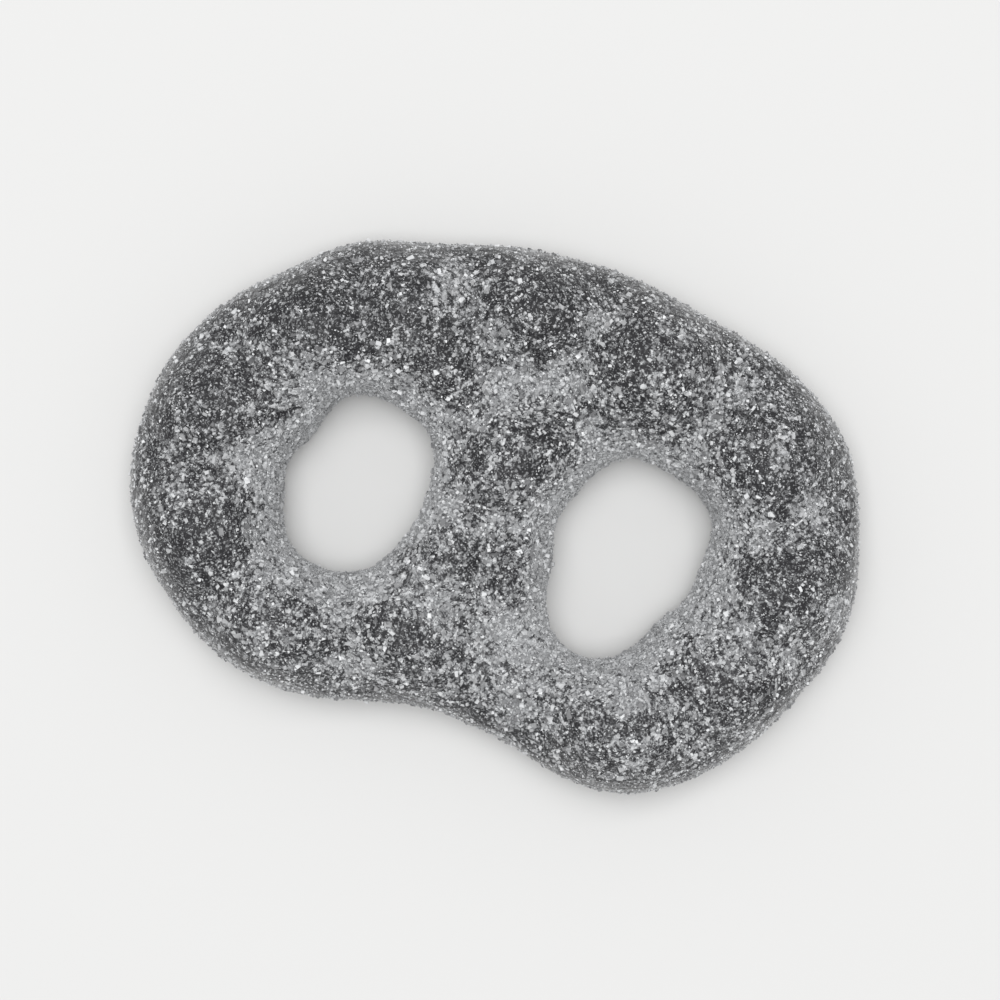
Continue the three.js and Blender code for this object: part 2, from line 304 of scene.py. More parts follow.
def beyond_hole(oval, corners, x, y):
    """Distance outside a leaning oval with soft corners."""
    across, up = place_in(oval, x, y)
    scaled = np.hypot(across / oval.half_width, up / oval.half_height)
    slope = np.hypot(across / oval.half_width**2, up / oval.half_height**2)
    angle = np.arctan2(up, across)
    edge = scaled * (scaled - 1) / np.maximum(slope, LEAST_SLOPE)
    for corner in corners:
        edge = edge - corner.height * np.cos(corner.count * (angle - math.radians(corner.turn)))
    return edge


def beyond_outline(x, y):
    """Distance outside the outline, negative inside it."""
    angle = np.arctan2(y, x)
    edge = beyond_shape(OUTLINE[0][0], x, y)
    for shape, blend in OUTLINE[1:]:
        edge = soft_min(edge, beyond_shape(shape, x, y), blend)
    from_flat = np.hypot(x - HEEL_FLAT.x, y - HEEL_FLAT.y) / HEEL_FLAT.reach
    edge = edge + HEEL_FLAT.depth * np.exp(-(from_flat**2))
    for wave in EDGE_WAVES:
        edge = edge + wave.height * np.sin(wave.count * angle + math.radians(wave.turn))
    return edge


def make_humps():
    """The humps of the ropes, a little uneven in length and height, then those of the crossing."""
    humps = []
    for rope in ROPES:
        for i, rub in enumerate(rope.rubs):
            order = len(humps) + 1
            degrees = rope.first + i * rope.pitch
            angle = math.radians(degrees)
            stretch = 1 + LENGTH_UNEVENNESS * math.sin(LENGTH_PHASE * order)
            humps.append(
                Hump(
                    x=rope.x + rope.radius * math.cos(angle),
                    y=rope.y + rope.radius * math.sin(angle),
                    lean=degrees + 90 + TWIST,
                    half_length=rope.half_length * stretch,
                    half_width=rope.half_width,
                    drop=HEIGHT_UNEVENNESS * (1 + math.sin(HEIGHT_PHASE * order)),
                    rub=rub,
                )
            )
    return [*humps, *CROSSING_HUMPS]


HUMPS = make_humps()


def away_from(hump, x, y):
    """Distance from a hump's crest squared, where 1 is the hump's own edge."""
    along, across = place_in(hump, x, y)
    return (along / hump.half_length) ** 2 + (across / hump.half_width) ** 2


def crest_height(x, y):
    """Height of the relief above the flat back, before the sides round it off."""
    top = np.full_like(x, FLOOR_HEIGHT)
    for hump in HUMPS:
        crown = THICKNESS - hump.drop - HUMP_FALL * away_from(hump, x, y)
        top = soft_max(top, crown, GROOVE_BLEND)
    across = (x - THIRD_LOOP.x) / THIRD_LOOP.half_width
    up = (y - THIRD_LOOP.y) / THIRD_LOOP.half_height
    return top - THIRD_LOOP.depth * np.exp(-(across**2 + up**2)) - CREASE_DEPTH * in_crease(x, y)


def in_crease(x, y):
    """From 0 away from the sharp crease of the left loop to 1 in it."""
    return np.exp(-((beyond_shape(CREASE, x, y) / CREASE_WIDTH) ** 2))


def candy(points):
    """The form of the candy: negative inside it, positive outside it."""
    x, y, z = points.T
    beyond_holes = np.minimum(*(beyond_hole(*hole, x, y) for hole in HOLES))
    outer_slope = np.maximum(1 + beyond_outline(x, y) / OUTER_SHOULDER, 0)
    hole_slope = np.maximum(1 - beyond_holes / HOLE_SHOULDER, 0)
    side = soft_max(outer_slope, hole_slope, SHOULDER_BLEND)
    above = (z - WIDEST_HEIGHT) / (crest_height(x, y) - WIDEST_HEIGHT)
    below = (WIDEST_HEIGHT - z) / TUCK_DEPTH
    return side**SIDE_FULLNESS + np.maximum(above, below) ** 2 - 1


def outline_middle():
    """Middle of the outline's box, which lies over the frame's origin."""
    fine = np.arange(*FINE_PLACES)
    coarse = np.arange(*COARSE_PLACES)
    x, y = np.meshgrid(fine, coarse)
    in_x = x[beyond_outline(x, y) < 0]
    x, y = np.meshgrid(coarse, fine)
    in_y = y[beyond_outline(x, y) < 0]
    return np.array([in_x.min() + in_x.max(), in_y.min() + in_y.max(), 0]) / 2


def draw_onto_licorice(points, coat):
    """Moves points straight onto the surface that lies coat under the form, with a soft rim."""
    steps = PROBE * np.eye(3)
    slope = np.stack([candy(points + step) - candy(points - step) for step in steps], axis=1)
    slope /= 2 * PROBE
    steepness = np.maximum(np.linalg.norm(slope, axis=1), LEAST_SLOPE)
    from_form = candy(points) / steepness
    from_back = -points[:, 2]
    share = np.clip(0.5 + 0.5 * (from_form - from_back) / RIM_BLEND, 0, 1)
    distance = coat + from_back + (from_form - from_back) * share + RIM_BLEND * share * (1 - share)
    outwards = slope * (share / steepness)[:, None] + DOWN * (1 - share)[:, None]
    move = np.clip(distance / (outwards**2).sum(axis=1), -LONGEST_PULL, LONGEST_PULL)
    return points - outwards * move[:, None]


def evened(points, edges):
    """Points after each has gone part of the way to the mean of its neighbours."""
    starts, ends = np.concatenate([edges, edges[:, ::-1]]).T
    counts = np.bincount(starts, minlength=len(points))
    means = [np.bincount(starts, points[ends, axis], len(points)) / counts for axis in range(3)]
    return points + EVENING_SHARE * (np.stack(means, axis=1) - points)


def in_patch(patch, x, y):
    """From 0 away from a patch to 1 at its middle."""
    return np.exp(-((x - patch.x) ** 2 + (y - patch.y) ** 2) / patch.reach**2)


def frost_on(points):
    """Share of the licorice that salt hides at each point, from 0 to 1."""
    x, y, z = points.T
    upper = smoothstep(*SIDE_HEIGHTS, z)
    inner = smoothstep(*INWARDS, -beyond_outline(x, y))
    rubbed = np.zeros_like(x)
    for hump in HUMPS:
        rubbed = np.maximum(rubbed, hump.rub * np.exp(-RUB_TIGHTNESS * away_from(hump, x, y)))
    groove = inner * smoothstep(*GROOVE_HEIGHTS, crest_height(x, y))
    frost = OUTER_FROST + (INNER_FROST - OUTER_FROST) * inner + GROOVE_FROST * groove
    frost = SIDE_FROST + (np.maximum(frost - RUB_CLEARING * rubbed, 0) - SIDE_FROST) * upper
    bare = 1 - frost
    for oval, corners in HOLES:
        widening = RING_WIDENING * smoothstep(*RING_WIDE_FROM, y - oval.y)
        near = np.maximum(beyond_hole(oval, corners, x, y), 0) / (RING_REACH + widening)
        bare = bare * (1 - RING_FROST * np.exp(-(near**2)))
    for patch in PATCHES:
        bare = bare * (1 - PATCH_FROST * upper * patch.strength * in_patch(patch, x, y))
    for patch in CLEARINGS:
        bare = bare + (1 - bare) * upper * patch.strength * in_patch(patch, x, y)
    # Painted shade: the crease is cleared of salt, so the bare licorice shows as a dark line in it.
    bare = bare + (1 - bare) * in_crease(x, y)
    at_back = smoothstep(*BACK_HEIGHTS, z)
    return (1 - bare) * (1 - at_back) + BACK_FROST * at_back


class Nodes:
    """Adds nodes to a tree, from left to right. An input is named, or numbered where names repeat."""

    SPACING = 180

    def __init__(self, tree):
        self.tree = tree

    def add(self, kind, inputs=None, **settings):
        node = self.tree.nodes.new(kind)
        node.location.x = self.SPACING * len(self.tree.nodes)
        for name, value in settings.items():
            setattr(node, name, value)
        self.fill(node, inputs or {})
        return node

    def fill(self, node, inputs):
        in_use = {socket.name: socket for socket in node.inputs if socket.enabled}
        for key, value in inputs.items():
            socket = in_use[key] if isinstance(key, str) else node.inputs[key]
            if isinstance(value, bpy.types.NodeSocket):
                self.tree.links.new(value, socket)
            else:
                socket.default_value = value

    def out(self, kind, inputs=None, **settings):
        """Adds a node and gives its first output that is in use."""
        node = self.add(kind, inputs, **settings)
        return next(socket for socket in node.outputs if socket.enabled)

    def maths(self, operation, *values):
        return self.out("ShaderNodeMath", dict(enumerate(values)), operation=operation)

    def scaled(self, vector, factor):
        return self.out("ShaderNodeVectorMath", {0: vector, "Scale": factor}, operation="SCALE")

    def between(self, low, high, share):
        """The number that lies the given share of the way from low to high."""
        return self.out("ShaderNodeMix", {"Factor": share, "A": low, "B": high}, data_type="FLOAT")

    def colour_between(self, low, high, share):
        return self.out("ShaderNodeMix", {"Factor": share, "A": low, "B": high}, data_type="RGBA")

    def step(self, value, start, end):
        """A smooth step from 0 to 1 as the value goes from start to end."""
        inputs = {"Value": value, "From Min": start, "From Max": end}
        return self.out("ShaderNodeMapRange", inputs, interpolation_type="SMOOTHSTEP")

    def noise(self, place, size, detail=2.0, roughness=0.5, seed=0.0):
        """Noise about zero, whose lumps are about the given size across."""
        inputs = {"Vector": place, "Rotation": NOISE_TURN}
        turned = self.out("ShaderNodeVectorRotate", inputs, rotation_type="EULER_XYZ")
        scale = self.maths("DIVIDE", 1.0, size)
        inputs = {
            "Vector": turned,
            "W": seed,
            "Scale": scale,
            "Detail": detail,
            "Roughness": roughness,
        }
        noise = self.out("ShaderNodeTexNoise", inputs, noise_dimensions="4D")
        return self.maths("SUBTRACT", noise, 0.5)

    def random(self, low, high, seed):
        """A random number for each element, or a random vector between two vectors."""
        kind = "FLOAT_VECTOR" if isinstance(low, tuple) else "FLOAT"
        inputs = {"Min": low, "Max": high, "Seed": seed}
        return self.out("FunctionNodeRandomValue", inputs, data_type=kind)

    def attribute(self, name):
        return self.out("GeometryNodeInputNamedAttribute", {"Name": name})

    def frosting(self, place, frost, given):
        """How far a place stands in the frost, covered above a half and bare below, and its grain."""
        patches = self.noise(place, given["Patch Size"])
        grain_size = given["Grain Size"]
        grain = self.noise(place, grain_size, GRAIN_DETAIL, GRAIN_ROUGHNESS, GRAIN_SEED)
        uneven = self.maths("MULTIPLY", patches, given["Patchiness"])
        speckled = self.maths("MULTIPLY", grain, given["Graininess"])
        return self.maths("ADD", self.maths("ADD", frost, uneven), speckled), grain

    def finish(self, geometry, material, made):
        """Ends a geometry tree with real meshes in the given material."""
        real = self.out("GeometryNodeRealizeInstances", {"Geometry": geometry})
        painted = self.out("GeometryNodeSetMaterial", {"Geometry": real, "Material": material})
        self.tree.links.new(painted, made["Geometry"])


def new_tree(name, kind, inputs, outputs):
    """A node tree with named inputs and outputs, each given as a socket type and a default."""
    tree = bpy.data.node_groups.new(name, kind)
    for in_out, sockets in (("INPUT", inputs), ("OUTPUT", outputs)):
        for socket_name, (socket_type, default) in sockets.items():
            socket = tree.interface.new_socket(socket_name, in_out=in_out, socket_type=socket_type)
            if default is not None:
                socket.default_value = default
    nodes = Nodes(tree)
    return nodes, nodes.add("NodeGroupInput").outputs, nodes.add("NodeGroupOutput").inputs


def geometry_tree(name, inputs):
    """A Geometry Nodes tree that takes a mesh, its sizes and a material, and gives a mesh."""
    geometry = {"Geometry": ("NodeSocketGeometry", None)}
    sockets = {**geometry, **inputs, "Material": ("NodeSocketMaterial", None)}
    return new_tree(name, "GeometryNodeTree", sockets, geometry)


def set_inputs(modifier, values):
    """Sets a Geometry Nodes modifier's inputs, which are found by name and set by identifier."""
    for item in modifier.node_group.interface.items_tree:
        if item.in_out == "INPUT" and item.name in values:
            modifier[item.identifier] = values[item.name]


NUMBER = "NodeSocketFloat"

# The frost's pattern, which the crystals and the film under them share
FROST_SOCKETS = {
    "Patch Size": (NUMBER, 0.0015),
    "Patchiness": (NUMBER, 1.5),
    "Grain Size": (NUMBER, 0.0003),
    "Graininess": (NUMBER, 4.0),
}
FROST_OUTPUTS = ("Cover", "Veil", "Grain", "Specks")


def frost_values(settings):
    """The inputs of the frost's pattern, from the licorice's settings."""
    return {
        "Patch Size": settings.patch_size,
        "Patchiness": settings.patchiness,
        "Grain Size": settings.frost_size,
        "Graininess": settings.graininess,
    }


def skin_tree():
    """Geometry nodes that make licorice lumpy, with caked salt standing a little proud of it."""
    inputs = {
        "Lump Size": (NUMBER, 0.0011),
        "Lump Height": (NUMBER, 0.0001),
        "Bump Size": (NUMBER, 0.0005),
        "Bump Height": (NUMBER, 0.00005),
        "Cake Height": (NUMBER, 0.0001),
        "Seed": (NUMBER, 1.0),
    }
    nodes, given, made = geometry_tree("Licorice skin", inputs)
    place = nodes.out("GeometryNodeInputPosition")
    lumps = nodes.noise(place, given["Lump Size"], SMOOTH_DETAIL, seed=given["Seed"])
    bumps = nodes.noise(place, given["Bump Size"], SMOOTH_DETAIL, seed=given["Seed"])
    lump_rise = nodes.maths("MULTIPLY", lumps, given["Lump Height"])
    caked = nodes.maths("MULTIPLY", nodes.attribute("frost"), given["Cake Height"])
    bump_height = nodes.maths("ADD", given["Bump Height"], caked)
    rise = nodes.maths("ADD", lump_rise, nodes.maths("MULTIPLY", bumps, bump_height))
    rise = nodes.maths("MULTIPLY", rise, nodes.attribute("relief"))
    offset = nodes.scaled(nodes.out("GeometryNodeInputNormal"), rise)
    inputs = {"Geometry": given["Geometry"], "Offset": offset}
    moved = nodes.out("GeometryNodeSetPosition", inputs)
    nodes.finish(moved, given["Material"], made)
    return nodes.tree


def salt_tree():
    """Geometry nodes that strew crystals over a surface, thickest where the frost covers it."""
    inputs = {
        "Crystal Size": (NUMBER, 0.0002),
        "Size Spread": (NUMBER, 0.35),
        "Density": (NUMBER, 4e6),
        "Bare Share": (NUMBER, 0.1),
        "Thick Share": (NUMBER, 1.0),
        **FROST_SOCKETS,
        "Sink": (NUMBER, 0.15),
        "Raggedness": (NUMBER, 0.2),
        "Chips": ("NodeSocketBool", False),
        "Seed": ("NodeSocketInt", 1),
    }
    nodes, given, made = geometry_tree("Salt coat", inputs)
    size = given["Crystal Size"]

    inputs = {"Mesh": given["Geometry"], "Density": given["Density"], "Seed": given["Seed"]}
    strewn = nodes.add("GeometryNodeDistributePointsOnFaces", inputs, distribute_method="RANDOM")
    place = nodes.out("GeometryNodeInputPosition")
    frost = nodes.attribute("frost")
    frosting, _ = nodes.frosting(place, frost, given)
    kept = nodes.between(given["Bare Share"], 1.0, nodes.step(frosting, *FROST_EDGE))
    in_powder = nodes.between(1.0, given["Thick Share"], nodes.step(frost, *THICK_FROST))
    kept = nodes.maths("MULTIPLY", kept, in_powder)
    chance = nodes.random(0.0, 1.0, SWEEP_SEED)
    swept = nodes.out("FunctionNodeCompare", {0: kept, 1: chance}, operation="LESS_THAN")
    depth = nodes.maths("MULTIPLY", nodes.maths("MULTIPLY", given["Sink"], size), -1.0)
    inwards = nodes.scaled(strewn.outputs["Normal"], depth)
    inputs = {"Geometry": strewn.outputs["Points"], "Selection": swept}
    left = nodes.out("GeometryNodeDeleteGeometry", inputs, domain="POINT")
    points = nodes.out("GeometryNodeSetPosition", {"Geometry": left, "Offset": inwards})

    cube = nodes.out("GeometryNodeMeshCube", {"Size": nodes.scaled(CRYSTAL_SIDES, size)})
    radius = nodes.maths("MULTIPLY", CHIP_RADIUS, size)
    inputs = {"Vertices": CHIP_CORNERS, "Radius Bottom": radius, "Depth": size}
    chip = nodes.out("GeometryNodeMeshCone", inputs)
    inputs = {"Switch": given["Chips"], "False": cube, "True": chip}
    shape = nodes.out("GeometryNodeSwitch", inputs, input_type="GEOMETRY")
    smallest = nodes.maths("SUBTRACT", 1.0, given["Size Spread"])
    largest = nodes.maths("ADD", 1.0, given["Size Spread"])
    inputs = {
        "Points": points,
        "Instance": shape,
        "Rotation": nodes.random((0.0, 0.0, 0.0), (math.tau, math.tau, math.tau), TURN_SEED),
        "Scale": nodes.random(smallest, largest, SIZE_SEED),
    }
    crystals = nodes.out("GeometryNodeInstanceOnPoints", inputs)
    tint = nodes.random(0.0, 1.0, TINT_SEED)
    inputs = {"Geometry": crystals, "Name": "tint", "Value": tint}
    tinted = nodes.out("GeometryNodeStoreNamedAttribute", inputs, domain="INSTANCE")

    real = nodes.out("GeometryNodeRealizeInstances", {"Geometry": tinted})
    shake = nodes.random((-1.0, -1.0, -1.0), (1.0, 1.0, 1.0), SHAKE_SEED)
    ragged = nodes.scaled(shake, nodes.maths("MULTIPLY", size, given["Raggedness"]))
    chipped = nodes.out("GeometryNodeSetPosition", {"Geometry": real, "Offset": ragged})
    flat = nodes.out("GeometryNodeSetShadeSmooth", {"Geometry": chipped, "Shade Smooth": False})
    nodes.finish(flat, given["Material"], made)
    return nodes.tree


def frost_group():
    """Shader group: where a film and a thinner veil of salt lie, the film's grain, and specks."""
    inputs = {"Vector": ("NodeSocketVector", None), "Frost": (NUMBER, 0.5), **FROST_SOCKETS}
    outputs = {name: (NUMBER, None) for name in FROST_OUTPUTS}
    nodes, given, made = new_tree("Salt frost", "ShaderNodeTree", inputs, outputs)
    frosting, grain = nodes.frosting(given["Vector"], given["Frost"], given)
    nodes.tree.links.new(nodes.step(frosting, *FROST_EDGE), made["Cover"])
    nodes.tree.links.new(nodes.step(frosting, *VEIL_EDGE), made["Veil"])
    nodes.tree.links.new(grain, made["Grain"])
    speck_size = nodes.maths("MULTIPLY", given["Grain Size"], SPECK_SHARE)
    specks = nodes.noise(given["Vector"], speck_size, SMOOTH_DETAIL, seed=SPECK_SEED)
    nodes.tree.links.new(nodes.step(specks, *SPECK_EDGE), made["Specks"])
    return nodes.tree


def add_frost(nodes, settings):
    """Puts the frost group in a material, on Object coordinates and the piece's own frost."""
    inputs = {
        "Vector": nodes.add("ShaderNodeTexCoord").outputs["Object"],
        "Frost": nodes.add("ShaderNodeAttribute", attribute_name="frost").outputs["Fac"],
        **frost_values(settings),
    }
    frost = nodes.tree.nodes.new("ShaderNodeGroup")
    frost.node_tree = bpy.data.node_groups["Salt frost"]
    nodes.fill(frost, inputs)
    return (frost.outputs[name] for name in FROST_OUTPUTS)


def new_material(name):
    """A new material, the nodes of its tree and its shader."""
    material = bpy.data.materials.new(name)
    material.use_nodes = True
    material.node_tree.nodes.clear()
    nodes = Nodes(material.node_tree)
    shader = nodes.add("ShaderNodeBsdfPrincipled")
    nodes.add("ShaderNodeOutputMaterial", {"Surface": shader.outputs["BSDF"]})
    return material, nodes, shader


def paint(colour):
    """The opaque colour that a socket takes."""
    return (*colour, 1.0)


def powdery_sheen(shader):
    """Fine salt catches light where the surface turns away, as along the outline."""
    shader.inputs["Sheen Weight"].default_value = SHEEN_WEIGHT
    shader.inputs["Sheen Roughness"].default_value = SHEEN_ROUGHNESS


def licorice_material(settings):
    """Matt charcoal licorice with a thin veil of salt, under a film where salt has caked."""
    material, nodes, shader = new_material("Licorice")
    cover, veil, grain, specks = add_frost(nodes, settings)
    bare = paint(settings.licorice_colour)
    veiled = nodes.colour_between(bare, paint(settings.veil_colour), veil)
    speckled = nodes.colour_between(veiled, paint(settings.film_shade), specks)
    mottling = nodes.step(grain, *MOTTLING_EDGE)
    film = nodes.colour_between(paint(settings.film_shade), paint(settings.film_colour), mottling)
    links = nodes.tree.links
    links.new(nodes.colour_between(speckled, film, cover), shader.inputs["Base Color"])
    links.new(nodes.between(*LICORICE_ROUGHNESS, cover), shader.inputs["Roughness"])
    shader.inputs["Specular IOR Level"].default_value = LICORICE_SPECULAR
    powdery_sheen(shader)
    inputs = {"Strength": BUMP_STRENGTH, "Distance": BUMP_DISTANCE, "Height": grain}
    links.new(nodes.out("ShaderNodeBump", inputs), shader.inputs["Normal"])
    return material


def salt_material(salt, licorice):
    """Crystals from smoky to white, duller where salt has caked over them."""
    material, nodes, shader = new_material("Salt")
    frost = nodes.add("ShaderNodeAttribute", attribute_name="frost").outputs["Fac"]
    tint = nodes.add("ShaderNodeAttribute", attribute_name="tint").outputs["Fac"]
    bright = nodes.maths("POWER", tint, salt.tint_power)
    clear = nodes.colour_between(paint(salt.smoky_colour), paint(salt.white_colour), bright)
    caked = nodes.maths("MULTIPLY", nodes.step(frost, *CAKED_FROST), salt.caking)
    dulled = nodes.colour_between(clear, paint(licorice.film_colour), caked)
    nodes.tree.links.new(dulled, shader.inputs["Base Color"])
    nodes.tree.links.new(nodes.between(*SALT_ROUGHNESS, caked), shader.inputs["Roughness"])
    powdery_sheen(shader)
    return material


def mesh_copy(node):
    """A CAD node's mesh in millimetres, with its loose triangles joined up."""
    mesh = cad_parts[node].data.copy()
    mesh.transform(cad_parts[node].matrix_world)
    for vertex in mesh.vertices:
        vertex.co /= MM
    obj = bpy.data.objects.new("coarse", mesh)
    bpy.context.scene.collection.objects.link(obj)
    weld = obj.modifiers.new("weld", "WELD")
    weld.merge_threshold = MERGE_DISTANCE
    return obj


def plain_mesh(obj, name):
    """The object's mesh with its modifiers applied. The object itself is removed."""
    evaluated = obj.evaluated_get(bpy.context.evaluated_depsgraph_get())
    mesh = bpy.data.meshes.new_from_object(evaluated)
    mesh.name = name
    old = obj.data
    bpy.data.objects.remove(obj)
    bpy.data.meshes.remove(old)
    return mesh


def coordinates(mesh):
    points = np.empty(len(mesh.vertices) * 3)
    mesh.vertices.foreach_get("co", points)
    return points.reshape(-1, 3)


def set_coordinates(mesh, points):
    mesh.vertices.foreach_set("co", points.ravel())
    mesh.update()


def set_attribute(mesh, name, values):
    attribute = mesh.attributes.new(name, "FLOAT", "POINT")
    attribute.data.foreach_set("value", values.astype(np.float32))


def kept_in_box(points):
    """Points after any that stands proud of the CAD box is pressed back to its side."""
    return np.clip(points, *CAD_BOX)


def licorice_mesh(settings):
    """The licorice as an even net drawn onto the form, with how thick salt lies at each point."""
    coarse = mesh_copy(NODE)
    remesh = coarse.modifiers.new("net", "REMESH")
    remesh.mode = "VOXEL"
    remesh.voxel_size = settings.net_step / MM
    mesh = plain_mesh(coarse, PIECE)
    edges = np.empty(len(mesh.edges) * 2, np.int32)
    mesh.edges.foreach_get("vertices", edges)
    middle = outline_middle()
    points = coordinates(mesh) + middle
    coat = settings.coat_depth / MM
    for _ in range(FIRST_PULLS):
        points = draw_onto_licorice(points, coat)
    for _ in range(EVENING_ROUNDS):
        points = draw_onto_licorice(evened(points, edges.reshape(-1, 2)), coat)
    at_back = smoothstep(*BACK_HEIGHTS, points[:, 2])
    set_attribute(mesh, "frost", frost_on(points))
    set_attribute(mesh, "relief", 1 - at_back)
    set_coordinates(mesh, (points - middle) * MM)
    mesh.polygons.foreach_set("use_smooth", np.ones(len(mesh.polygons), bool))
    return mesh


def through_nodes(mesh, tree, values, name):
    """A mesh after a Geometry Nodes tree has worked on it."""
    obj = bpy.data.objects.new(name, mesh)
    bpy.context.scene.collection.objects.link(obj)
    modifier = obj.modifiers.new(tree.name, "NODES")
    modifier.node_group = tree
    set_inputs(modifier, values)
    made = plain_mesh(obj, name)
    set_coordinates(made, kept_in_box(coordinates(made)))
    return made


def add_piece(mesh, name):
    """Puts a finished mesh in the scene as a piece of the pretzel."""
    if not mesh.polygons:
        raise RuntimeError(f"{name} has no faces")
    obj = bpy.data.objects.new(name, mesh)
    bpy.context.scene.collection.objects.link(obj)
    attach(obj, BODY)
    return obj


def length(name, description, default):
    return bpy.props.FloatProperty(
        name=name, description=description, default=default, min=0.0, unit="LENGTH", precision=6
    )


def share(name, description, default):
    return bpy.props.FloatProperty(
        name=name, description=description, default=default, min=0.0, max=1.0, subtype="FACTOR"
    )


def number(name, description, default):
    return bpy.props.FloatProperty(name=name, description=description, default=default, min=0.0)


def density(name, default):
    return number(name, "Number for each square metre, where the frost covers it", default)


def colour(name, description, default):
    return bpy.props.FloatVectorProperty(
        name=name, description=description, default=default, min=0.0, max=1.0, subtype="COLOR"
    )


class LicoriceSettings(bpy.types.PropertyGroup):
    """Sizes and colours of the licorice and of the film of salt on it"""

    net_step: length("Net step", "Distance between the points of the surface", 0.00019)
    coat_depth: length("Coat depth", "How far the licorice lies under the coated form", 0.00014)
    lump_size: length("Lump size", "Width of the soft lumps of the surface", 0.0011)
    lump_height: length("Lump height", "Height of the soft lumps", 0.00012)
    bump_size: length("Bump size", "Width of the surface's small bumps", 0.00045)
    bump_height: length("Bump height", "Height of the small bumps", 0.00007)
    cake_height: length("Cake height", "Height that caked salt adds to the small bumps", 0.00040)
    patch_size: length("Patch size", "Distance between the frost's patches", 0.0009)
    patchiness: number("Patchiness", "How strongly the patches show", 1.7)
    frost_size: length("Frost size", "Distance between the frost's specks", 0.0003)
    graininess: number("Graininess", "How strongly the specks show", 3.4)
    licorice_colour: colour("Licorice", "Bare licorice", (0.018, 0.018, 0.020))
    veil_colour: colour("Veil", "Thin veil of salt on licorice", (0.082, 0.083, 0.086))
    film_shade: colour("Film shade", "Thin parts of the film of salt", (0.19, 0.194, 0.20))
    film_colour: colour("Film", "Caked salt", (0.56, 0.571, 0.582))


class SaltSettings(bpy.types.PropertyGroup):
    """Sizes, numbers and colours of the salt crystals"""

    coarse_size: length("Coarse size", "Size of the coarse crystals", 0.00023)
    coarse_density: density("Coarse density", 3.5e6)
    medium_size: length("Medium size", "Size of the medium crystals", 0.00016)
    medium_density: density("Medium density", 1.3e7)
    fine_size: length("Fine size", "Size of the fine crystals", 0.00014)
    fine_density: density("Fine density", 5.0e7)
    powder_size: length("Powder size", "Size of the powder", 0.000105)
    powder_density: density("Powder density", 4.5e7)
    dust_size: length("Dust size", "Size of the finest salt", 0.00008)
    dust_density: density("Dust density", 2.3e7)
    spread: share("Spread", "How far sizes stray from the mean", 0.35)
    sink: share("Sink", "How deep a crystal sits, as a share of its size", 0.15)
    raggedness: share("Raggedness", "How far a corner strays, as a share of the size", 0.15)
    caking: share("Caking", "How far caked salt dulls the crystals that it covers", 0.35)
    tint_power: number("Tint power", "Above 1, more crystals are smoky", 1.3)
    smoky_colour: colour("Smoky crystals", "Darkest crystals", (0.14, 0.141, 0.146))
    white_colour: colour("White crystals", "Brightest crystals", (0.70, 0.711, 0.722))


class StageSettings(bpy.types.PropertyGroup):
    """Floor, light and camera"""

    floor_size: length("Floor size", "Side of the square floor", 3.0)
    floor_colour: colour("Floor", "Plain pale floor", (0.66, 0.66, 0.655))
    sky_strength: number("Sky", "Strength of the even light from all round", 0.55)
    key_power: bpy.props.FloatProperty(
        name="Key light",
        description="Power of the large soft lamp",
        default=2.5,
        min=0.0,
        unit="POWER",
    )
    key_size: length("Key size", "Side of the large soft lamp", 0.4)
    lens: bpy.props.FloatProperty(
        name="Lens", description="Focal length in millimetres", default=90.0, min=1.0
    )
    frame_width: length("Frame width", "Width of what the camera sees", 0.056)
    roll: bpy.props.FloatProperty(
        name="Roll", description="Turn of the camera", default=math.radians(15.7), subtype="ANGLE"
    )


class LICORICE_OT_body(bpy.types.Operator):
    """Makes the licorice body with its film of salt"""

    bl_idname = "licorice_pretzel.body"
    bl_label = "Make Licorice Body"
    bl_options = {"REGISTER", "UNDO"}

    def execute(self, context):
        settings = context.scene.licorice_body
        frost_group()
        values = {
            "Lump Size": settings.lump_size,
            "Lump Height": settings.lump_height,
            "Bump Size": settings.bump_size,
            "Bump Height": settings.bump_height,
            "Cake Height": settings.cake_height,
            "Material": licorice_material(settings),
        }
        mesh = through_nodes(licorice_mesh(settings), skin_tree(), values, PIECE)
        body = add_piece(mesh, PIECE)
        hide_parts(NODE)
        return {"FINISHED"}


# Each kind of salt: whether it is pointed chips or drawn-out cubes, how much of it lies on bare
# licorice, how much is left where salt lies thick, and the seed of its places
SaltKind = namedtuple("SaltKind", "chips bare_share thick_share seed")
SALT_KINDS = {
    "coarse": SaltKind(False, 0.08, 0.3, 21),
    "medium": SaltKind(False, 0.08, 0.4, 22),
    "fine": SaltKind(True, 0.08, 0.7, 23),
    "powder": SaltKind(True, 0.12, 1.0, 24),
    "dust": SaltKind(True, 0.7, 0.4, 25),
}


class LICORICE_OT_salt(bpy.types.Operator):
    """Strews each kind of salt crystal over the licorice"""

    bl_idname = "licorice_pretzel.salt"
    bl_label = "Strew Salt"
    bl_options = {"REGISTER", "UNDO"}

    def execute(self, context):
        settings = context.scene.licorice_salt
        body = bpy.data.objects.get(PIECE)
        if body is None:
            raise RuntimeError("make the licorice body before its salt")
        tree = salt_tree()
        licorice = context.scene.licorice_body
        material = salt_material(settings, licorice)
        for name, kind in SALT_KINDS.items():
            values = {
                "Crystal Size": getattr(settings, f"{name}_size"),
                "Size Spread": settings.spread,
                "Density": getattr(settings, f"{name}_density"),
                "Bare Share": kind.bare_share,
                "Thick Share": kind.thick_share,
                **frost_values(licorice),
                "Sink": settings.sink,
                "Raggedness": settings.raggedness,
                "Chips": kind.chips,
                "Seed": kind.seed,
                "Material": material,
            }
            piece = f"salt_{name}"
            add_piece(through_nodes(body.data.copy(), tree, values, piece), piece)
        return {"FINISHED"}


